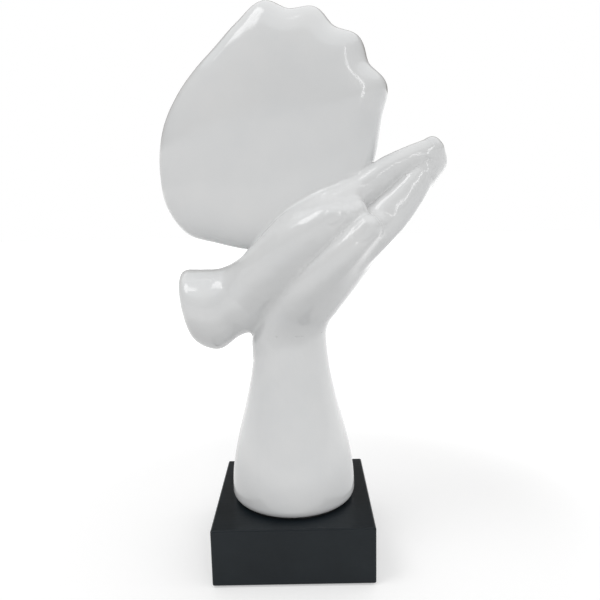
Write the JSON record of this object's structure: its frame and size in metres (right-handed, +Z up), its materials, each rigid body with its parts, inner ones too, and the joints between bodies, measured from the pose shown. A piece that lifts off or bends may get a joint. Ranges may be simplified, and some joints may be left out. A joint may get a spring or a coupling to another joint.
{
  "type": "hand sculpture",
  "caption": "Glazed ceramic hands pressed palm to palm on a flared forearm, carrying a large scalloped oval form, bolted to a square black plinth.",
  "frame": {"origin": "centre of the felt's underside, where the sculpture stands", "axes": "+Z up along the forearm, +X toward the fingertips, -Y toward the thumbs and the viewer"},
  "size_m": [0.1758, 0.1, 0.3486],
  "materials": {
    "white_glaze": "glossy white glaze",
    "black_lacquer": "satin black lacquer",
    "black_rubber": "matte black",
    "felt": "dense black felt",
    "plaster": "raw cast plaster",
    "brass": "turned",
    "steel": "zinc plated"
  },
  "bodies": {
    "root": {"base_felt": "felt", "plinth": "black_lacquer", "bolt_washer": "steel", "mounting_bolt": "steel", "foot_gasket": "black_rubber", "forearm": "white_glaze", "ballast_core": "plaster", "threaded_insert": "brass", "wrist_dowel_left": "steel", "wrist_dowel_right": "steel", "lower_hand": "white_glaze", "palm_dowel_heel": "steel", "palm_dowel_fore": "steel", "upper_hand": "white_glaze", "oval_dowel_rear": "steel", "oval_dowel_fore": "steel", "scalloped_oval": "white_glaze"}
  },
  "joints": []
}
